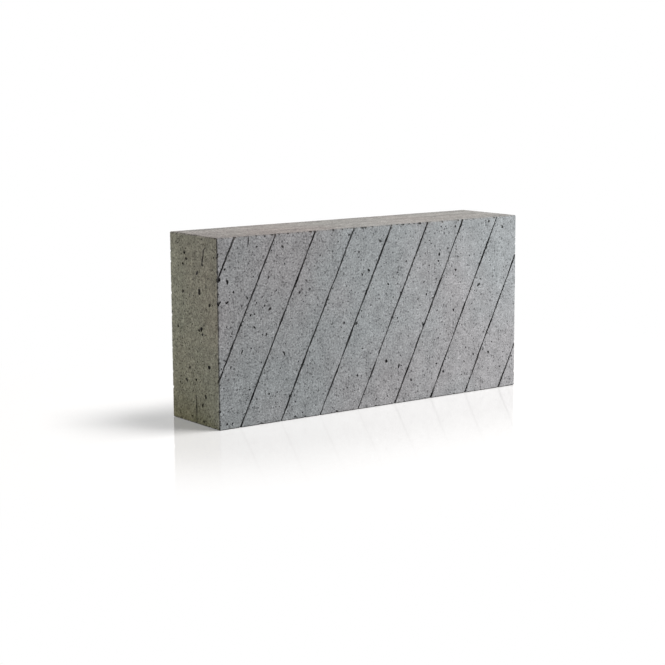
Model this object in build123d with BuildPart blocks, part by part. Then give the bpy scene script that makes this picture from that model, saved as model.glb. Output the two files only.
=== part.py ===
"""Aircrete walling block: one wire-cut, autoclaved piece with a plaster key scored in its front face.

The origin is the middle of the bottom bed. X runs along the wall, Z is up, and the scored face looks along -Y.
"""

import os
from math import atan2, cos, degrees, hypot

from build123d import *

# Block, as it stands in a wall (mm)
block_length = 440.0
block_thickness = 100.0
block_height = 215.0
arris_break = 1.0  # bevel where the sharp wire-cut edges crumble

# Scored key: straight, parallel grooves that lean across the front face (mm)
score_width = 2.2  # at the face
score_floor = 0.9  # across the groove's flat bottom
score_depth = 2.8
score_pitch = 55.0  # from line to line along the bed
score_run = 110.0  # how far a line travels sideways over the block's height

# Worked out from the sizes above
score_lean = atan2(score_run, block_height)  # from upright, in radians
score_spacing = score_pitch * cos(score_lean)  # square across the lines
score_wall_angle = degrees(atan2(score_depth, (score_width - score_floor) / 2))
score_reach = hypot(block_length + score_run, block_height)  # past both ends of every line
score_lines = 2 * int(((block_length + score_run) / score_pitch + 1) / 2)  # all that cross the face

# Square across the lines, at the middle of the front face, with its Y axis into the block
groove_plane = Plane(
    origin=(0, -block_thickness / 2, block_height / 2),
    x_dir=(block_height, 0, -score_run),
    z_dir=(score_run, 0, block_height),
)

# The block is cut by wires from a larger cake, so it has six flat faces and lightly broken arrises
with BuildPart() as aircrete_block:
    with BuildSketch(Plane.XY):
        Rectangle(block_length, block_thickness)
    extrude(amount=block_height)
    chamfer(aircrete_block.edges(), length=arris_break)

    # Spikes score the key while the cake is still green, and every groove runs out through an arris
    with BuildSketch(groove_plane):
        with GridLocations(score_spacing, 1, score_lines, 1):
            Trapezoid(score_width, score_depth, score_wall_angle, align=(Align.CENTER, Align.MIN))
    extrude(amount=score_reach, both=True, mode=Mode.SUBTRACT)

aircrete_block.part.label = "aircrete_block"

os.makedirs("parts", exist_ok=True)
export_step(aircrete_block.part, "parts/aircrete_block.step")
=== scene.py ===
"""The looks of one aircrete walling block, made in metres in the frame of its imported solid."""

import random
from math import atan2, cos, radians

import bmesh
import bpy
from mathutils import Euler, Matrix, Quaternion, Vector, noise


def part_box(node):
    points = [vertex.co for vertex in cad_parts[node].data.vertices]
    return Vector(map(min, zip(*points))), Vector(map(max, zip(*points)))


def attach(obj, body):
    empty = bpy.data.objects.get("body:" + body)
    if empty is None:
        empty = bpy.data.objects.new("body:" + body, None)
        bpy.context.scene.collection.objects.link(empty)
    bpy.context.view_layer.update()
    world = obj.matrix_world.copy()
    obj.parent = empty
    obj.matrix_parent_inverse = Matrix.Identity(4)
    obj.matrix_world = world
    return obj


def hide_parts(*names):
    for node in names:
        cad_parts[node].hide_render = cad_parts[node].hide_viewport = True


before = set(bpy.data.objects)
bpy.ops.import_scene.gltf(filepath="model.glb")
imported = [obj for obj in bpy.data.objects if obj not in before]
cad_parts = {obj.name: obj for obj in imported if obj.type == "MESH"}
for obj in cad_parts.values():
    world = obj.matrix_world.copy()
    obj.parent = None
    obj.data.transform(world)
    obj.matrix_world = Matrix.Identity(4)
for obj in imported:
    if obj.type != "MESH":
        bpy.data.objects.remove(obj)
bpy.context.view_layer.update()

# The block
# One piece of aircrete: cement, lime and fly ash that foam into a cake with aluminium paste.
# Wires cut the green cake into blocks and steam hardens them, so each face is a flat cut through
# thousands of gas cells, and each arris is sharp but crumbly.
mm = 0.001
low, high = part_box("aircrete_block")
block_size = high - low
block_middle = (low + high) / 2
cell_size = 8.0 * mm  # of the grid that the cut faces are made of
cut_waver = 0.2 * mm  # how far a wire strays from a flat cut
waver_frequency = 25.0  # per metre
arris_break = 1.0 * mm
break_variation = 0.25  # share of the break that comes and goes along an arris
break_frequency = 160.0  # per metre
top_arris_shade = 0.15  # painted shade on the broken top arrises, from 0 for a cut face to 1 for a deep pit
upright_arris_shade = 0.8  # painted shade on the upright arrises, times a share that comes and goes in patches along them
dark_share = 0.6  # what that share is about
dark_frequency = 70.0  # patches per metre
bottom_arris_shade = 0.95  # painted shadow along the arrises that it stands on


def stations(start, end):
    """Places across one side of the block: its ends, where each arris break stops, and even cells between."""
    inside = end - start - 2 * arris_break
    cells = round(inside / cell_size)
    return [start, *(start + arris_break + inside * step / cells for step in range(cells + 1)), end]


lattice = [stations(low[axis], high[axis]) for axis in range(3)]
last = [len(places) - 1 for places in lattice]
cut_faces = bmesh.new()
# Painted shade: 0 on a cut face, and up to 1 where the aircrete is torn open or an arris is broken
painted_shade_layer = cut_faces.faces.layers.float.new("opened")
corners = {}


def corner(index):
    """The vertex at one place of the lattice, drawn in a little from the cut faces that it lies on."""
    if index not in corners:
        point = Vector([lattice[axis][index[axis]] for axis in range(3)])
        sides = [axis for axis in range(3) if index[axis] in (0, last[axis])]
        if len(sides) == 1:
            drawn_in = cut_waver * (0.5 + 0.5 * noise.noise(point * waver_frequency))
        else:
            variation = break_variation * noise.noise(point * break_frequency)
            drawn_in = arris_break * (1 - break_variation + variation)
        for axis in sides:
            point[axis] += drawn_in if index[axis] == 0 else -drawn_in
        corners[index] = cut_faces.verts.new(point)
    return corners[index]


for axis in range(3):
    across, along = [other for other in range(3) if other != axis]
    for side in (0, last[axis]):
        for i in range(last[across]):
            for j in range(last[along]):
                ring = []
                for step_i, step_j in ((0, 0), (1, 0), (1, 1), (0, 1)):
                    index = [0, 0, 0]
                    index[axis] = side
                    index[across] = i + step_i
                    index[along] = j + step_j
                    ring.append(corner(tuple(index)))
                face = cut_faces.faces.new(ring)
                # The broken arrises get painted shade: faint along the top, in patches up the sides, darkest
                # along the foot
                if i in (0, last[across] - 1) or j in (0, last[along] - 1):
                    centre = face.calc_center_median()
                    if centre.z < low.z + arris_break:
                        face[painted_shade_layer] = bottom_arris_shade
                    elif centre.z > high.z - arris_break:
                        face[painted_shade_layer] = top_arris_shade
                    else:
                        patch = max(0.0, dark_share + noise.noise(centre * dark_frequency))
                        face[painted_shade_layer] = upright_arris_shade * patch
bmesh.ops.recalc_face_normals(cut_faces, faces=cut_faces.faces)
block_mesh = bpy.data.meshes.new("wire_cut_block")
cut_faces.to_mesh(block_mesh)
cut_faces.free()
block = bpy.data.objects.new("wire_cut_block", block_mesh)
bpy.context.scene.collection.objects.link(block)

# The scored key
# Spikes drag straight, slanting grooves across the face while the cake is still green.
# Their lips tear a little, so a groove's width and depth waver along it.
score_lines = 10
score_pitch = 55.0 * mm
score_run = 110.0 * mm  # sideways, over the block's height
score_width = 2.2 * mm
score_floor = 0.9 * mm
score_depth = 2.8 * mm
score_tear = 0.9 * mm  # most that a wall strays from its line over a few mm
tear_length = 2.6 * mm
score_wander = 1.0 * mm  # and over a few cm
wander_length = 30.0 * mm
stray_shares = (2.0, 1.4, 0.0)  # sideways, inward and up, for a noise that goes half a unit either way
score_thinning = 0.9 * mm  # most that a groove widens or narrows
thinning_length = 25.0 * mm
thinning_range = (0.35, 0.65)  # of a noise about 0.5, from the narrowest to the widest
score_shade = 0.9  # painted shade on its walls, as on the arrises
score_patches = 14.0 * mm  # length of the stretches where that painted shade is darker and paler
bar_stations = 130  # along the bar that cuts a groove
bar_proud = 0.25  # share of the depth by which the bar stands out of the face
bar_overrun = 1.04  # its length, in heights of the block
aircrete = bpy.data.materials.new("aircrete")


def add(tree, kind, inputs=None, **settings):
    """A new node. Inputs go by name or place, and take a value or another node's output."""
    made = tree.nodes.new(kind)
    for name, value in settings.items():
        setattr(made, name, value)
    for key, value in (inputs or {}).items():
        if isinstance(key, int):
            socket = made.inputs[key]
        else:
            socket = next(s for s in made.inputs if s.name == key and s.enabled)
        if isinstance(value, bpy.types.NodeSocket):
            tree.links.new(value, socket)
        else:
            socket.default_value = value
    return made


def maths(tree, operation, *values):
    """The result of a Math node."""
    return add(tree, "ShaderNodeMath", dict(enumerate(values)), operation=operation).outputs[0]


def vector_maths(tree, operation, *values):
    """The vector that a Vector Math node gives."""
    return add(tree, "ShaderNodeVectorMath", dict(enumerate(values)), operation=operation).outputs[0]


def scaled(tree, vector, amount):
    """A vector times a number."""
    return add(tree, "ShaderNodeVectorMath", {0: vector, "Scale": amount}, operation="SCALE").outputs[0]


def remap(tree, value, from_low, from_high, to_low, to_high, kind="LINEAR"):
    """A value carried from one range to another, and held inside it."""
    inputs = {
        "Value": value, "From Min": from_low, "From Max": from_high, "To Min": to_low, "To Max": to_high}
    return add(tree, "ShaderNodeMapRange", inputs, interpolation_type=kind).outputs["Result"]


def cutting_tree(name, **inputs):
    """A geometry tree that takes a mesh and inputs of the given types. Returns it and those inputs."""
    tree = bpy.data.node_groups.new(name, "GeometryNodeTree")
    tree.interface.new_socket(name="Geometry", in_out="OUTPUT", socket_type="NodeSocketGeometry")
    tree.interface.new_socket(name="Geometry", in_out="INPUT", socket_type="NodeSocketGeometry")
    for label, kind in {**inputs, "Shade": "Float", "Material": "Material"}.items():
        tree.interface.new_socket(name=label, in_out="INPUT", socket_type="NodeSocket" + kind)
    return tree, tree.nodes.new("NodeGroupInput").outputs


def cut_away(tree, given, cutters, patch_size):
    """Ends a cutting tree: paints shade on the cutters' walls, cuts them out of the mesh and gives it its
    material.

    The painted shade is darkest at Shade, and it weakens in patches of the given size.
    """
    weakest = 0.4  # share of the painted shade that is left in the palest patches
    patch_range = (0.36, 0.6)  # of a noise about 0.5, from the palest to the darkest
    patches = add(tree, "ShaderNodeTexNoise", {
        "Scale": maths(tree, "DIVIDE", 1.0, patch_size), "Detail": 0.0})
    weaker = remap(tree, patches.outputs["Fac"], *patch_range, weakest, 1.0)
    walls = add(tree, "GeometryNodeStoreNamedAttribute", {
        "Geometry": cutters, "Name": "opened", "Value": maths(tree, "MULTIPLY", given["Shade"], weaker)},
        data_type="FLOAT", domain="FACE")
    cut = add(tree, "GeometryNodeMeshBoolean", operation="DIFFERENCE", solver="MANIFOLD")
    tree.links.new(given["Geometry"], cut.inputs["Mesh 1"])
    tree.links.new(walls.outputs["Geometry"], cut.inputs["Mesh 2"])
    real = add(tree, "GeometryNodeRealizeInstances", {"Geometry": cut.outputs["Mesh"]})
    painted = add(tree, "GeometryNodeSetMaterial", {
        "Geometry": real.outputs["Geometry"], "Material": given["Material"]})
    end = tree.nodes.new("NodeGroupOutput")
    tree.links.new(painted.outputs["Geometry"], end.inputs["Geometry"])


def hang(piece, tree, **values):
    """Hangs a geometry tree on a piece, with its named inputs set before anything is evaluated."""
    modifier = piece.modifiers.new(tree.name, "NODES")
    modifier.node_group = tree
    for item in tree.interface.items_tree:
        if item.in_out == "INPUT" and item.name in values:
            modifier[item.identifier] = values[item.name]


scored_key, given = cutting_tree("scored_key", **{
    "Lines": "Int", "Pitch": "Float", "Run": "Float", "Width": "Float", "Floor": "Float", "Depth": "Float",
    "Tear": "Float", "Wander": "Float", "Thinning": "Float", "Low Corner": "Vector", "Height": "Float"})

# One bar from a unit cube, with the groove's section, slanted over the block's height
bar = add(scored_key, "GeometryNodeMeshCube", {
    "Size": (1, 1, 1), "Vertices X": 2, "Vertices Y": 2, "Vertices Z": bar_stations})
place = add(scored_key, "ShaderNodeSeparateXYZ", {0: add(scored_key, "GeometryNodeInputPosition").outputs[0]})
inward = maths(scored_key, "ADD", place.outputs["Y"], 0.5)
upward = maths(scored_key, "ADD", place.outputs["Z"], 0.5)
bar_width = add(scored_key, "ShaderNodeMix", data_type="FLOAT", clamp_factor=False)
for socket, source in ((0, inward), (2, given["Width"]), (3, given["Floor"])):
    scored_key.links.new(source, bar_width.inputs[socket])
slant = maths(scored_key, "MULTIPLY", place.outputs["Z"], given["Run"])
sideways = maths(scored_key, "MULTIPLY", place.outputs["X"], bar_width.outputs[0])
sunk = maths(scored_key, "SUBTRACT", maths(scored_key, "MULTIPLY", inward, 1 + bar_proud), bar_proud)
bar_place = add(scored_key, "ShaderNodeCombineXYZ", {
    "X": maths(scored_key, "ADD", slant, sideways),
    "Y": maths(scored_key, "MULTIPLY", sunk, given["Depth"]),
    "Z": maths(scored_key, "MULTIPLY", upward, given["Height"])})
sided = add(scored_key, "GeometryNodeCaptureAttribute")
sided.capture_items.new("FLOAT", "Side")
scored_key.links.new(bar.outputs["Mesh"], sided.inputs["Geometry"])
scored_key.links.new(place.outputs["X"], sided.inputs["Side"])
shaped = add(scored_key, "GeometryNodeSetPosition", {
    "Geometry": sided.outputs["Geometry"], "Position": bar_place.outputs[0]})
longer = add(scored_key, "GeometryNodeTransform", {
    "Geometry": shaped.outputs[0], "Scale": (1, 1, bar_overrun)})

# A row of such bars along the face, about its middle
half_row = maths(scored_key, "MULTIPLY", maths(scored_key, "SUBTRACT", given["Lines"], 1.0), -0.5)
first_place = add(scored_key, "ShaderNodeCombineXYZ", {
    "X": maths(scored_key, "MULTIPLY", half_row, given["Pitch"])}).outputs[0]
face_foot = vector_maths(scored_key, "MULTIPLY", given["Low Corner"], (0, 1, 1))
row = add(scored_key, "GeometryNodeMeshLine", {
    "Count": given["Lines"],
    "Start Location": vector_maths(scored_key, "ADD", face_foot, first_place),
    "Offset": add(scored_key, "ShaderNodeCombineXYZ", {"X": given["Pitch"]}).outputs[0]})
bars = add(scored_key, "GeometryNodeInstanceOnPoints", {
    "Points": row.outputs["Mesh"], "Instance": longer.outputs[0]})
torn = add(scored_key, "GeometryNodeRealizeInstances", {"Geometry": bars.outputs["Instances"]}).outputs[0]

# Their sides stray, in short tears and long wanders, and they swell and thin
for length, amount in ((tear_length, given["Tear"]), (wander_length, given["Wander"])):
    straying = add(scored_key, "ShaderNodeTexNoise", {"Scale": 1 / length, "Detail": 2.0, "Roughness": 0.6})
    strayed = vector_maths(scored_key, "SUBTRACT", straying.outputs["Color"], (0.5, 0.5, 0.5))
    strayed = vector_maths(scored_key, "MULTIPLY", strayed, stray_shares)
    torn = add(scored_key, "GeometryNodeSetPosition", {
        "Geometry": torn, "Offset": scaled(scored_key, strayed, amount)}).outputs[0]
swelling = add(scored_key, "ShaderNodeTexNoise", {"Scale": 1 / thinning_length, "Detail": 2.0}).outputs["Fac"]
swelling = remap(scored_key, swelling, *thinning_range, -1.0, 1.0)
swelling = maths(scored_key, "MULTIPLY", swelling, given["Thinning"])
swollen = add(scored_key, "ShaderNodeCombineXYZ", {
    "X": maths(scored_key, "MULTIPLY", swelling, sided.outputs["Side"])}).outputs[0]
torn = add(scored_key, "GeometryNodeSetPosition", {"Geometry": torn, "Offset": swollen}).outputs[0]
cut_away(scored_key, given, torn, score_patches)

lean = atan2(score_run, block_size.z)
hang(block, scored_key, **{
    "Lines": score_lines, "Pitch": score_pitch, "Run": score_run, "Width": score_width / cos(lean),
    "Floor": score_floor / cos(lean), "Depth": score_depth, "Tear": score_tear, "Wander": score_wander,
    "Thinning": score_thinning, "Low Corner": low, "Height": block_size.z, "Shade": score_shade,
    "Material": aircrete})

# The gas cells
# Every cut opens the bubbles that it meets, some at their waist and some only at their crown.
# They come in three sizes, crowd in places, and are a little longer one way than the other.
crowd_frequency = 22.0  # per metre
crowd_range = (0.35, 0.68)  # of a noise about 0.5, from the emptiest to the most crowded
emptiest = 0.12  # share of the cells that is left between the crowded places
size_skew = 2.2  # over 1, so that most cells are near the smallest size
slimmest = (0.75, 0.75, 0.8)  # in diameters
fattest = (1.05, 1.05, 1.5)
full_turn = 6.283  # radians
dent_share = 0.7  # how far a cell's skin is pushed about, in shares of the smallest diameter
cell_depths = (-0.28, 0.2)  # of a cell's middle from the face, in diameters, outward above 0
cell_fine_share = 0.4  # cells at the right end for each one at the left end


def random_value(tree, lowest, highest, seed, kind="FLOAT"):
    """A random number, or vector, for each point."""
    made = add(tree, "FunctionNodeRandomValue", {"Seed": seed, "Min": lowest, "Max": highest}, data_type=kind)
    return next(s for s in made.outputs if s.enabled)


def dent(tree, cutters, lump_size, reach):
    """Pushes the skin of round cutters in and out in lumps, so that no two are alike."""
    lumps = add(tree, "ShaderNodeTexNoise", {"Scale": maths(tree, "DIVIDE", 1.0, lump_size), "Detail": 1.0})
    push = vector_maths(tree, "SUBTRACT", lumps.outputs["Color"], (0.5, 0.5, 0.5))
    return add(tree, "GeometryNodeSetPosition", {
        "Geometry": cutters, "Offset": scaled(tree, push, reach)}).outputs[0]


def skin(name, sheets):
    """Bare sheets to strew holes over. Each has a middle line, an outward direction, a width and a share."""
    bare = bmesh.new()
    share_layer = bare.faces.layers.float.new("share")
    for start, end, outward, width, share in sheets:
        side = (end - start).cross(outward).normalized() * width / 2
        ring = [bare.verts.new(point) for point in (start - side, end - side, end + side, start + side)]
        sheet = bare.faces.new(ring)
        sheet.normal_update()
        if sheet.normal.dot(outward) < 0:
            sheet.normal_flip()
        sheet[share_layer] = share
    mesh = bpy.data.meshes.new(name)
    bare.to_mesh(mesh)
    bare.free()
    made = bpy.data.objects.new(name, mesh)
    bpy.context.scene.collection.objects.link(made)
    return made


def block_side(axis, sign, share):
    """The sheet that covers one side of the block."""
    outward = Vector([sign * (place == axis) for place in range(3)])
    along = Vector([float(place == (axis + 1) % 3) for place in range(3)])
    middle = block_middle + outward * block_size[axis] / 2
    reach = along * block_size[(axis + 1) % 3] / 2
    return middle - reach, middle + reach, outward, block_size[(axis + 2) % 3], share


strewn_holes, given = cutting_tree("strewn_holes", **{
    "Skin": "Object", "Smallest": "Float", "Largest": "Float", "Spacing": "Float",
    "Per Square Metre": "Float", "Deepest": "Float", "Shallowest": "Float", "Coarse Side": "Float",
    "Fine Side": "Float", "Fine Share": "Float", "Roundness": "Int", "Seed": "Int"})

# Points on the skin: more in the crowded places, and more on the coarse side than on the fine one
strewn_on = add(strewn_holes, "GeometryNodeObjectInfo", {"Object": given["Skin"]})
position = add(strewn_holes, "GeometryNodeInputPosition").outputs[0]
crowding = add(strewn_holes, "ShaderNodeTexNoise", {
    "Vector": position, "Scale": crowd_frequency, "Detail": 2.0}).outputs["Fac"]
crowding = remap(strewn_holes, crowding, *crowd_range, emptiest, 1.0)
along_block = add(strewn_holes, "ShaderNodeSeparateXYZ", {0: position}).outputs["X"]
coarseness = remap(
    strewn_holes, along_block, given["Coarse Side"], given["Fine Side"], 1.0, given["Fine Share"])
sheet_share = add(
    strewn_holes, "GeometryNodeInputNamedAttribute", {"Name": "share"}, data_type="FLOAT").outputs[0]
crowding = maths(strewn_holes, "MULTIPLY", maths(strewn_holes, "MULTIPLY", crowding, coarseness), sheet_share)
strewn = add(strewn_holes, "GeometryNodeDistributePointsOnFaces", {
    "Mesh": strewn_on.outputs["Geometry"], "Distance Min": given["Spacing"],
    "Density Max": given["Per Square Metre"], "Density Factor": crowding, "Seed": given["Seed"]},
    distribute_method="POISSON")

# A ball at each point, with a size, depth, turn and stretch of its own
rank = maths(strewn_holes, "POWER", random_value(strewn_holes, 0.0, 1.0, given["Seed"]), size_skew)
diameter = remap(strewn_holes, rank, 0.0, 1.0, given["Smallest"], given["Largest"])
depth_seed = maths(strewn_holes, "ADD", given["Seed"], 1.0)
turn_seed = maths(strewn_holes, "ADD", given["Seed"], 2.0)
stretch_seed = maths(strewn_holes, "ADD", given["Seed"], 3.0)
sunk = maths(strewn_holes, "MULTIPLY", diameter,
             random_value(strewn_holes, given["Deepest"], given["Shallowest"], depth_seed))
sunk_points = add(strewn_holes, "GeometryNodeSetPosition", {
    "Geometry": strewn.outputs["Points"], "Offset": scaled(strewn_holes, strewn.outputs["Normal"], sunk)})
turned = add(strewn_holes, "FunctionNodeEulerToRotation", {
    0: random_value(strewn_holes, (0, 0, 0), (full_turn, full_turn, full_turn), turn_seed, "FLOAT_VECTOR")})
stretch = random_value(strewn_holes, slimmest, fattest, stretch_seed, "FLOAT_VECTOR")
ball = add(strewn_holes, "GeometryNodeMeshIcoSphere", {"Radius": 0.5, "Subdivisions": given["Roundness"]})
holes = add(strewn_holes, "GeometryNodeInstanceOnPoints", {
    "Points": sunk_points.outputs[0], "Instance": ball.outputs["Mesh"], "Rotation": turned.outputs[0],
    "Scale": scaled(strewn_holes, stretch, diameter)})
holes = add(strewn_holes, "GeometryNodeRealizeInstances", {"Geometry": holes.outputs["Instances"]})
dent_reach = maths(strewn_holes, "MULTIPLY", given["Smallest"], dent_share)
dented = dent(strewn_holes, holes.outputs[0], given["Largest"], dent_reach)
cut_away(strewn_holes, given, dented, given["Spacing"])

# The sides of the block, by axis and direction, with the share of the cells that each has
seen_sides = skin("seen_sides", [block_side(0, -1, 1.6), block_side(1, -1, 1.0), block_side(2, 1, 0.5)])
hidden_sides = skin("hidden_sides", [block_side(0, 1, 2.4), block_side(1, 1, 0.8), block_side(2, -1, 0.3)])
cell_groups = (  # sides, smallest, largest and spacing in mm, number per square metre, roundness, seed, painted shade
    (hidden_sides, 2.4, 5.0, 11.0, 1300.0, 2, 11, 0.9),
    (seen_sides, 2.4, 4.0, 11.0, 150.0, 2, 17, 0.9),
    (seen_sides, 1.4, 2.4, 4.2, 9500.0, 2, 23, 0.9),
    (hidden_sides, 1.4, 2.4, 4.2, 3600.0, 1, 29, 0.9),
    (seen_sides, 0.8, 1.4, 2.6, 34000.0, 1, 37, 0.8),
    (hidden_sides, 0.8, 1.4, 2.6, 13000.0, 1, 43, 0.8))
for sides, smallest, largest, spacing, crowd, roundness, seed, shade in cell_groups:
    hang(block, strewn_holes, **{
        "Skin": sides, "Smallest": smallest * mm, "Largest": largest * mm, "Spacing": spacing * mm,
        "Per Square Metre": crowd, "Deepest": cell_depths[0], "Shallowest": cell_depths[1],
        "Coarse Side": low.x, "Fine Side": high.x, "Fine Share": cell_fine_share, "Roundness": roundness,
        "Seed": seed, "Shade": shade, "Material": aircrete})

# The crumbled edges
# Crumbs break out along the arrises and along the lips of the grooves, where the aircrete is thinnest.
# They come loose as the wires pass and as blocks are handled, and leave small round bites.
strip_width = 0.2 * mm  # of the line along an edge that crumbs are strewn on
arris_share = 2.0  # of the crumbs, as the sides have shares of the cells
lip_share = 1.0
crumb_tries = 4.0  # points tried for each one that the spacing leaves room for
crumb_fine_share = 0.7  # crumbs at the right end for each one at the left end
box_corners = [Vector((x, y, z)) for x in (low.x, high.x) for y in (low.y, high.y) for z in (low.z, high.z)]
arris_strips = []
for a in range(8):
    for b in range(a):
        moved = [axis for axis in range(3) if box_corners[a][axis] != box_corners[b][axis]]
        if len(moved) == 1:
            outward = (box_corners[a] + box_corners[b]) / 2 - block_middle
            outward = Vector([(value > 0) - (value < 0) if abs(value) > mm else 0.0 for value in outward])
            outward.normalize()
            arris_strips.append((box_corners[b], box_corners[a], outward, strip_width, arris_share))
arrises = skin("arrises", arris_strips)
lip_strips = []
for line in range(score_lines):
    for lip in (-0.5, 0.5):
        foot = (line - (score_lines - 1) / 2) * score_pitch - score_run / 2 + lip * score_width / cos(lean)
        lip_start = Vector((foot, low.y, low.z))
        lip_end = Vector((foot + score_run, low.y, high.z))
        lip_strips.append((lip_start, lip_end, Vector((0, -1, 0)), strip_width, lip_share))
lips = skin("lips", lip_strips)
crumb_groups = (  # edges, smallest, largest and spacing in mm, depths in diameters, roundness, seed, painted shade
    (arrises, 2.0, 4.5, 7.5, -0.28, -0.05, 2, 51, 0.6),
    (arrises, 1.4, 2.2, 3.8, -0.45, -0.2, 1, 57, 0.6),
    (lips, 1.2, 2.6, 4.4, -0.15, 0.15, 1, 67, 0.9))
for edges, smallest, largest, spacing, deepest, shallowest, roundness, seed, shade in crumb_groups:
    hang(block, strewn_holes, **{
        "Skin": edges, "Smallest": smallest * mm, "Largest": largest * mm, "Spacing": spacing * mm,
        "Per Square Metre": crumb_tries / (strip_width * (spacing * mm)), "Deepest": deepest,
        "Shallowest": shallowest, "Coarse Side": low.x, "Fine Side": high.x, "Fine Share": crumb_fine_share,
        "Roundness": roundness, "Seed": seed, "Shade": shade, "Material": aircrete})

# The open pits and cracks
# The largest pits that show, and three short cracks where the green cake tore as it was cut.
# Places are in mm: from the middle along the face or across the end, and up from the bed.
front_pits = (  # along, up, length, breadth, lean to the right in degrees
    (-210, 180, 3.0, 2.6, 0), (-207, 166, 5.5, 2.8, -10), (-217, 169, 4.0, 3.0, 0), (-208, 143, 5.0, 2.6, 60),
    (-217, 144, 3.2, 2.4, 40), (-199, 154, 3.4, 2.0, 30), (-202, 108, 3.4, 2.4, -10), (-151, 131, 5.2, 2.8, 45),
    (-158, 135, 3.2, 2.6, 0), (-177, 126, 3.2, 2.2, 30), (-172, 127, 3.4, 2.0, -35), (-152, 167, 3.6, 2.8, 0),
    (-133, 200, 3.8, 2.6, -45), (-142, 151, 2.8, 2.2, 0), (-110, 146, 3.2, 2.8, 0), (-96, 149, 3.6, 1.8, -60),
    (-189, 86, 6.0, 2.0, 35), (-132, 78, 6.0, 2.2, -30), (-212, 78, 6.0, 2.2, -70), (-204, 70, 3.2, 2.2, 30),
    (-125, 28, 4.0, 2.8, 10), (-153, 34, 3.0, 2.4, 0), (-172, 112, 3.2, 2.4, -60), (-156, 102, 3.2, 2.4, 30),
    (-47, 105, 4.0, 3.0, 0), (-118, 3, 4.2, 2.6, 90), (-210, 6, 2.8, 2.2, 40), (-203, 6, 2.8, 2.0, 60),
    (-11, 164, 4.6, 2.4, -35), (-21, 160, 5.0, 2.0, -35), (18, 145, 3.4, 2.6, -20), (-29, 103, 4.6, 3.2, 30),
    (96, 175, 3.6, 2.8, 0), (95, 167, 2.8, 2.2, 0), (122, 154, 3.6, 3.0, 0), (159, 133, 6.2, 3.0, 50),
    (119, 105, 3.2, 2.8, 0), (71, 92, 5.0, 3.6, -30), (15, 53, 4.2, 3.6, 0), (34, 45, 6.2, 2.6, 5),
    (103, 31, 3.4, 2.8, 0), (167, 52, 4.4, 1.6, -10), (176, 47, 3.6, 3.0, 0), (214, 38, 3.2, 2.6, 0),
    (151, 47, 3.0, 2.4, 0), (175, 210, 3.2, 2.8, 0), (197, 202, 5.2, 3.0, -15), (121, 207, 3.6, 2.8, 30),
    (171, 178, 4.6, 3.0, 35), (109, 181, 3.0, 2.4, 0), (6, 197, 3.6, 2.8, 0), (53, 26, 3.4, 2.6, 0),
    (-28, 41, 3.2, 2.4, 0), (37, 133, 3.6, 2.2, -30), (76, 128, 3.4, 2.6, 0), (-25, 186, 3.0, 2.6, 0))
front_nicks = (  # in the arrises, given as the pits are
    (-219, 168, 4.4, 3.0, 0), (-219, 142, 4.0, 3.0, 0), (-219, 197, 3.2, 2.4, 0), (-219.5, 118, 3.0, 2.0, 0),
    (-219.5, 61, 3.4, 2.2, 0), (-219.5, 27, 3.6, 2.2, 0), (-19, 214.5, 8.0, 1.8, 90), (30, 214.5, 6.0, 1.5, 90),
    (40, 214.5, 7.0, 1.4, 90), (50, 214.5, 4.0, 1.6, 90), (58, 214.5, 5.0, 1.6, 90), (66, 214, 5.0, 2.6, 90))
end_pits = (  # across, up, length, breadth, lean to the front in degrees
    (-12, 152, 8.0, 5.2, 0), (-15, 110, 5.0, 5.0, 20), (-10, 108, 3.6, 4.0, 0), (-17, 104, 3.0, 3.2, 0),
    (-30, 69, 4.6, 5.0, 0), (-33, 139, 4.0, 4.4, 0), (-8, 173, 6.0, 3.6, -50), (19, 194, 4.4, 4.0, 20),
    (15, 187, 4.0, 3.4, 20), (22, 181, 3.8, 3.8, 0), (18, 48, 4.2, 4.4, 0), (-2, 51, 3.4, 3.8, 0),
    (-22, 34, 5.4, 3.6, 0), (-15, 23, 6.0, 3.2, -30), (-17, 5, 4.2, 4.2, 30), (-19, 183, 4.0, 4.0, 0),
    (23, 149, 3.4, 3.6, 0), (35, 108, 3.6, 3.6, 0))
large_pit = 4.5  # a longer pit has a finer skin
pit_sinking = (-0.05, 0.2)  # of a pit's middle below the face, in breadths
pit_depths = (0.9, 1.5)  # in breadths
front_cracks = ((2.2, ((-178, 217), (-178.6, 209), (-179.4, 203))),)  # widest, then along and up at each bend
end_cracks = ((3.6, ((-25, 202), (-21.5, 198.5), (-21, 193.5), (-19.5, 187.5), (-17, 182))),
              (2.8, ((-2, 34), (-2.4, 17), (-2, -2))))
crack_depth = 4.0 * mm
crack_tip = 0.4  # width at both ends, in shares of the widest
crack_floor = 0.3  # width at the bottom, in shares of that at the face
mark_dent = 2.2 * mm  # size of the lumps in their skin, and how far these reach
# Painted shade in the pits and cracks, and the length of its patches
mark_shade = 1.0
mark_patches = 40.0 * mm
sharp_angle = 35.0  # degrees, and edges that turn less are shaded smooth
to_front = Matrix(((1, 0, 0, 0), (0, 0, 1, low.y), (0, 1, 0, 0), (0, 0, 0, 1)))  # from along, up and in
to_end = Matrix(((0, 0, 1, low.x), (1, 0, 0, 0), (0, 1, 0, 0), (0, 0, 0, 1)))


def settle(piece):
    """Turns what a piece's geometry trees make into its plain mesh, and takes the trees off it."""
    made = bpy.data.meshes.new_from_object(piece.evaluated_get(bpy.context.evaluated_depsgraph_get()))
    piece.modifiers.clear()
    piece.data = made


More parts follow.
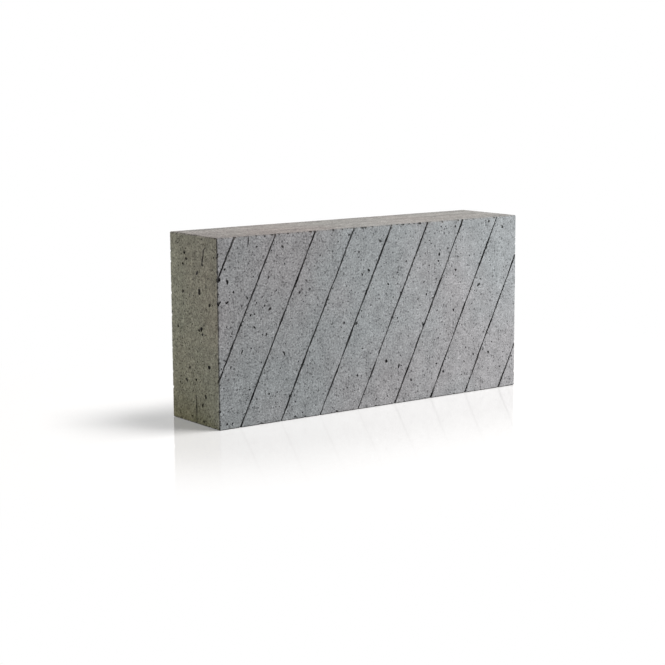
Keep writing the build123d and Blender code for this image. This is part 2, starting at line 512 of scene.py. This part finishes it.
chance = random.Random(5)
openings = bmesh.new()
for face_to_block, pits in ((to_front, front_pits), (to_front, front_nicks), (to_end, end_pits)):
    for along, up, length, breadth, tilt in pits:
        sunk = breadth * mm * chance.uniform(*pit_sinking)
        deep = breadth * mm * chance.uniform(*pit_depths)
        shape = (Matrix.Translation((along * mm, up * mm, sunk))
                 @ Matrix.Rotation(-radians(tilt), 4, "Z")
                 @ Matrix.Diagonal((breadth * mm, length * mm, deep, 1)))
        bmesh.ops.create_icosphere(openings, subdivisions=3 if length > large_pit else 2, radius=0.5,
                                   matrix=face_to_block @ shape)
for face_to_block, cracks in ((to_front, front_cracks), (to_end, end_cracks)):
    for widest, bends in cracks:
        rings = []
        for place, (along, up) in enumerate(bends):
            half = widest * mm / 2 * (crack_tip if place in (0, len(bends) - 1) else 1)
            section = ((-half, -mm), (half, -mm), (crack_floor * half, crack_depth),
                       (-crack_floor * half, crack_depth))
            rings.append([openings.verts.new(face_to_block @ Vector((along * mm + side, up * mm, into)))
                          for side, into in section])
        for one, other in zip(rings, rings[1:]):
            for k in range(4):
                openings.faces.new((one[k], one[k - 1], other[k - 1], other[k]))
        openings.faces.new(rings[0])
        openings.faces.new(rings[-1][::-1])
bmesh.ops.recalc_face_normals(openings, faces=openings.faces)
opening_mesh = bpy.data.meshes.new("openings")
openings.to_mesh(opening_mesh)
openings.free()
opening_cutters = bpy.data.objects.new("openings", opening_mesh)
bpy.context.scene.collection.objects.link(opening_cutters)

# Pits that meet are joined into one before they are cut out
open_marks, given = cutting_tree("open_marks", **{"Openings": "Object", "Dent": "Float"})
marks = add(open_marks, "GeometryNodeObjectInfo", {"Object": given["Openings"]})
dented = dent(open_marks, marks.outputs["Geometry"], given["Dent"], given["Dent"])
joined = add(
    open_marks, "GeometryNodeMeshBoolean", {"Self Intersection": True}, operation="UNION", solver="EXACT")
open_marks.links.new(dented, joined.inputs["Mesh 2"])
cut_away(open_marks, given, joined.outputs["Mesh"], mark_patches)
hang(block, open_marks, **{
    "Openings": opening_cutters, "Dent": mark_dent, "Shade": mark_shade, "Material": aircrete})

settle(block)
for helper in (seen_sides, hidden_sides, arrises, lips, opening_cutters):
    bpy.data.objects.remove(helper)
for polygon in block.data.polygons:
    polygon.use_smooth = True
block.data.set_sharp_from_angle(angle=radians(sharp_angle))

# The finish of the aircrete
# Matt grey, with a grain of pores too fine to model, pale flecks of lime, faint clouds of warmer and
# cooler grey, and the lengthwise combing that the wire leaves on the beds.
cool_grey = (0.366, 0.382, 0.386, 1)
warm_grey = (0.386, 0.377, 0.380, 1)
grain_at_left = 0.62  # how far the grain swings about the body colour
grain_at_right = 0.38
grain_on_ends = 1.05  # times as far, on both ends
combing_swing = (0.84, 1.16)  # darkest and palest, in shares of the body colour, as the next six are
streak_swing = (0.95, 1.05)
mottle_swing = (0.87, 1.13)
# Painted shade in the pores too fine to model, as shares of the body colour
coarse_pore_painted_shade = 0.66
fine_pore_painted_shade = 0.75
fleck_tone = 1.3
painted_shade_tone = 0.2  # tone under the darkest painted shade of a pit, groove or crumbled edge
cloud_waves = 7.0  # per metre, as the next four are
grain_waves = 420.0
mottle_waves = 110.0
combing_waves = (3.0, 50.0, 1.0)  # along, across and up
streak_waves = (90.0, 90.0, 5.0)
cloud_range = (0.38, 0.62)  # of a noise about 0.5
noise_range = (0.3, 0.7)
side_range = (0.6, 0.8)  # of a normal along an axis, between which a side of the block begins
pore_edge = 0.1  # half of its softness, in shares of a pore's cell
grain_height = 0.8  # against 1 for the depth of a coarse pore
fine_pore_depth = 0.5
relief_depth = 0.5 * mm
aircrete_roughness = 0.92
aircrete_shine = 0.2


def blend(tree, factor, one, other):
    """A colour between two others."""
    made = add(tree, "ShaderNodeMix", {"Factor": factor, "A": one, "B": other}, data_type="RGBA")
    return next(s for s in made.outputs if s.enabled)


def speckles(tree, vector, waves, detail, roughness=0.5):
    """Noise about 0.5, with so many waves to the metre."""
    inputs = {"Vector": vector, "Scale": waves, "Detail": detail, "Roughness": roughness}
    return add(tree, "ShaderNodeTexNoise", inputs).outputs["Fac"]


def dots(tree, vector, waves, smallest, largest, shift):
    """Dots with a random radius, one in each cell of a pattern, but none where the radius is below 0."""
    moved = vector_maths(tree, "ADD", vector, (shift, shift, shift))
    cells = add(tree, "ShaderNodeTexVoronoi", {"Vector": moved, "Scale": waves})
    rank = add(tree, "ShaderNodeSeparateColor", {0: cells.outputs["Color"]}).outputs[0]
    radius = remap(tree, rank, 0.0, 1.0, smallest, largest)
    edge = maths(tree, "SUBTRACT", radius, cells.outputs["Distance"])
    return remap(tree, edge, -pore_edge, pore_edge, 0.0, 1.0, "SMOOTHSTEP")


aircrete.use_nodes = True
shading = aircrete.node_tree
shading.nodes.clear()
spot = add(shading, "ShaderNodeTexCoord").outputs["Object"]
along_block = add(shading, "ShaderNodeSeparateXYZ", {0: spot}).outputs["X"]
normal = add(shading, "ShaderNodeNewGeometry").outputs["True Normal"]
facing = add(shading, "ShaderNodeSeparateXYZ", {0: normal})
on_end = remap(shading, maths(shading, "ABSOLUTE", facing.outputs["X"]), *side_range, 1.0, grain_on_ends)
on_bed = remap(shading, maths(shading, "ABSOLUTE", facing.outputs["Z"]), *side_range, 0.0, 1.0)
clouds = speckles(shading, spot, cloud_waves, 3.0)
body_colour = blend(shading, remap(shading, clouds, *cloud_range, 0.0, 1.0), cool_grey, warm_grey)

# Its tone swings with the grain, the combing of the beds, upright streaks and mottling
grain = speckles(shading, spot, grain_waves, 4.0, 0.75)
grain_swing = remap(shading, along_block, low.x, high.x, grain_at_left, grain_at_right)
grain_swing = maths(shading, "MULTIPLY", grain_swing, on_end)
swing = maths(shading, "MULTIPLY", remap(shading, grain, *noise_range, -1.0, 1.0), grain_swing)
tone = maths(shading, "ADD", 1.0, swing)
combing = speckles(shading, vector_maths(shading, "MULTIPLY", spot, combing_waves), 1.0, 2.0)
combed = maths(shading, "SUBTRACT", remap(shading, combing, *noise_range, *combing_swing), 1.0)
combed = maths(shading, "ADD", 1.0, maths(shading, "MULTIPLY", combed, on_bed))
streaks = speckles(shading, vector_maths(shading, "MULTIPLY", spot, streak_waves), 1.0, 2.0)
streaked = remap(shading, streaks, *noise_range, *streak_swing)
mottling = speckles(shading, spot, mottle_waves, 3.0)
mottled = remap(shading, mottling, *noise_range, *mottle_swing)
for share in (combed, streaked, mottled):
    tone = maths(shading, "MULTIPLY", tone, share)

# Flecks have a paler tone of their own; pores and all that is torn open get painted shade.
# Dots are given by their cells per metre, smallest and largest radius in shares of a cell, and a shift.
coarse_pores = dots(shading, spot, 270.0, -0.3, 0.4, 0.0)
fine_pores = dots(shading, spot, 650.0, -0.1, 0.42, 1.7)
flecks = dots(shading, spot, 430.0, -0.5, 0.34, 3.1)
opened = add(shading, "ShaderNodeAttribute", attribute_name="opened").outputs["Fac"]
for mask, full in (
        (coarse_pores, coarse_pore_painted_shade), (fine_pores, fine_pore_painted_shade), (flecks, fleck_tone),
        (opened, painted_shade_tone)):
    tone = maths(shading, "MULTIPLY", tone, remap(shading, mask, 0.0, 1.0, 1.0, full))
pore_depth = maths(shading, "ADD", coarse_pores, maths(shading, "MULTIPLY", fine_pores, fine_pore_depth))
height = maths(shading, "SUBTRACT", maths(shading, "MULTIPLY", grain, grain_height), pore_depth)
bump = add(shading, "ShaderNodeBump", {"Strength": 1.0, "Distance": relief_depth, "Height": height})
surface = add(shading, "ShaderNodeBsdfPrincipled", {
    "Base Color": scaled(shading, body_colour, tone), "Roughness": aircrete_roughness,
    "Specular IOR Level": aircrete_shine, "Normal": bump.outputs[0]})
add(shading, "ShaderNodeOutputMaterial", {"Surface": surface.outputs[0]})

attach(block, "root")
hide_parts("aircrete_block")

# The floor
# A plain white studio table with a slight gloss, which mirrors the foot of the block.
# Away from the block it fades into the white behind it.
floor_radius = 6.0
floor_segments = 96
floor_white = (0.9, 0.9, 0.9, 1)
pure_white = (1, 1, 1, 1)
bounce_grey = (0.4, 0.4, 0.4, 1)  # the table as it lights the block from below
own_light = 0.36  # share of the white that no lamp or shadow changes
gloss_roughness = 0.03
gloss_index = 1.4  # of refraction
gloss_share = 0.92  # of a full gloss, beside the block
gloss_reach = (0.06, 0.34)  # from the block, between which the gloss dies away
fade_reach = (0.1, 0.42)  # from the block, between which the table turns pure white
floor_disc = bmesh.new()
bmesh.ops.create_circle(floor_disc, cap_ends=True, segments=floor_segments, radius=floor_radius)
floor_mesh = bpy.data.meshes.new("studio_floor")
floor_disc.to_mesh(floor_mesh)
floor_disc.free()
floor = bpy.data.objects.new("studio_floor", floor_mesh)
bpy.context.scene.collection.objects.link(floor)
table_white = bpy.data.materials.new("table_white")
table_white.use_nodes = True
shading = table_white.node_tree
shading.nodes.clear()
spot = add(shading, "ShaderNodeTexCoord").outputs["Object"]
beside = vector_maths(shading, "SUBTRACT", vector_maths(shading, "ABSOLUTE", spot), block_size / 2)
beside = vector_maths(shading, "MULTIPLY", vector_maths(shading, "MAXIMUM", beside, (0, 0, 0)), (1, 1, 0))
away = add(shading, "ShaderNodeVectorMath", {0: beside}, operation="LENGTH").outputs["Value"]
faded = remap(shading, away, *fade_reach, 0.0, 1.0, "SMOOTHSTEP")
matt = add(shading, "ShaderNodeBsdfDiffuse", {"Color": floor_white})
white = add(shading, "ShaderNodeEmission", {"Color": pure_white, "Strength": 1.0})
gloss = add(shading, "ShaderNodeBsdfGlossy", {"Color": pure_white, "Roughness": gloss_roughness})
half_lit = add(shading, "ShaderNodeMixShader", {0: own_light, 1: matt.outputs[0], 2: white.outputs[0]})
grazing = add(shading, "ShaderNodeFresnel", {"IOR": gloss_index}).outputs[0]
nearness = remap(shading, away, *gloss_reach, gloss_share, 0.0, "SMOOTHSTEP")
mirrored = maths(shading, "MULTIPLY", grazing, nearness)
glossy = add(shading, "ShaderNodeMixShader", {0: mirrored, 1: half_lit.outputs[0], 2: gloss.outputs[0]})
fading = add(shading, "ShaderNodeMixShader", {0: faded, 1: glossy.outputs[0], 2: white.outputs[0]})
dull = add(shading, "ShaderNodeBsdfDiffuse", {"Color": bounce_grey})
bounced = add(shading, "ShaderNodeLightPath").outputs["Is Diffuse Ray"]
seen_or_bounced = add(shading, "ShaderNodeMixShader", {0: bounced, 1: fading.outputs[0], 2: dull.outputs[0]})
add(shading, "ShaderNodeOutputMaterial", {"Surface": seen_or_bounced.outputs[0]})
floor_mesh.materials.append(table_white)

# The studio
# The white all round is only seen, and gives no light. Four lamps fall on the block alone: the key light
# in front on the right, one overhead, a weak warm one on the left and one behind. A fifth, high up on
# the right, falls on the table alone and gives it the block's soft shadow.
world = bpy.data.worlds.new("studio_white")
bpy.context.scene.world = world
world.use_nodes = True
shading = world.node_tree
shading.nodes.clear()
rays = add(shading, "ShaderNodeLightPath")
seen = maths(shading, "MAXIMUM", rays.outputs["Is Camera Ray"], rays.outputs["Is Glossy Ray"])
background = add(shading, "ShaderNodeBackground", {"Color": pure_white, "Strength": seen})
add(shading, "ShaderNodeOutputWorld", {"Surface": background.outputs[0]})


def soft_light(name, place, aim, width, power, colour):
    """A square area light that stands at a place and faces a point."""
    lamp = bpy.data.lights.new(name, "AREA")
    lamp.size = width
    lamp.energy = power
    lamp.color = colour
    lamp_object = bpy.data.objects.new(name, lamp)
    lamp_object.location = place
    lamp_object.rotation_mode = "QUATERNION"
    lamp_object.rotation_quaternion = (Vector(aim) - Vector(place)).to_track_quat("-Z", "Y")
    lamp_object.visible_camera = False
    lamp_object.visible_glossy = False  # so that no lamp is mirrored in the table
    bpy.context.scene.collection.objects.link(lamp_object)
    return lamp_object


# Each lamp with its place, aim, width, watts and colour
key_right = soft_light("key_right", (0.92, -0.85, 0.28), block_middle, 0.5, 14.4, (0.951, 0.973, 1.0))
overhead = soft_light("overhead", (0.1, 0.1, 1.3), block_middle, 1.0, 13.9, (1.0, 0.905, 0.832))
fill_left = soft_light("fill_left", (-0.8, 0.35, 0.065), (low.x, 0, 0.065), 0.12, 1.33, (1.0, 0.92, 0.52))
fill_back = soft_light("fill_back", (0.3, 1.5, 0.4), block_middle, 0.8, 7.0, (1.0, 1.0, 1.0))
table_light = soft_light("table_light", (1.8, -1.2, 5.1), (-0.1, -0.1, 0), 2.25, 424.0, (1.0, 0.98, 0.965))
for name, lit, lamps in (
        ("lit_block", block, (key_right, overhead, fill_left, fill_back)),
        ("lit_table", floor, (table_light,))):
    receivers = bpy.data.collections.new(name)  # all that these lamps fall on
    receivers.objects.link(lit)
    for lamp in lamps:
        lamp.light_linking.receiver_collection = receivers
bpy.context.scene.view_settings.view_transform = "Standard"

# The camera
# It stands to the left of the scored face and a little above it, as in the photograph.
# Its place and lens were worked out from the seven corners of the block that show there.
photo_width = 665  # px
focal_length = 1685.4  # px
camera_place = Vector((-1.2000, -1.6027, 0.4042))
camera_azimuth = radians(-36.19)
camera_elevation = radians(9.12)
camera_roll = radians(-0.34)
camera = bpy.data.cameras.new("camera")
camera.sensor_width = 36.0
camera.lens = focal_length / photo_width * camera.sensor_width
camera_object = bpy.data.objects.new("camera", camera)
camera_object.location = camera_place
camera_object.rotation_mode = "QUATERNION"
level = Euler((radians(90) - camera_elevation, 0, camera_azimuth)).to_quaternion()
camera_object.rotation_quaternion = level @ Quaternion((0, 0, 1), camera_roll)
bpy.context.scene.collection.objects.link(camera_object)
bpy.context.scene.camera = camera_object
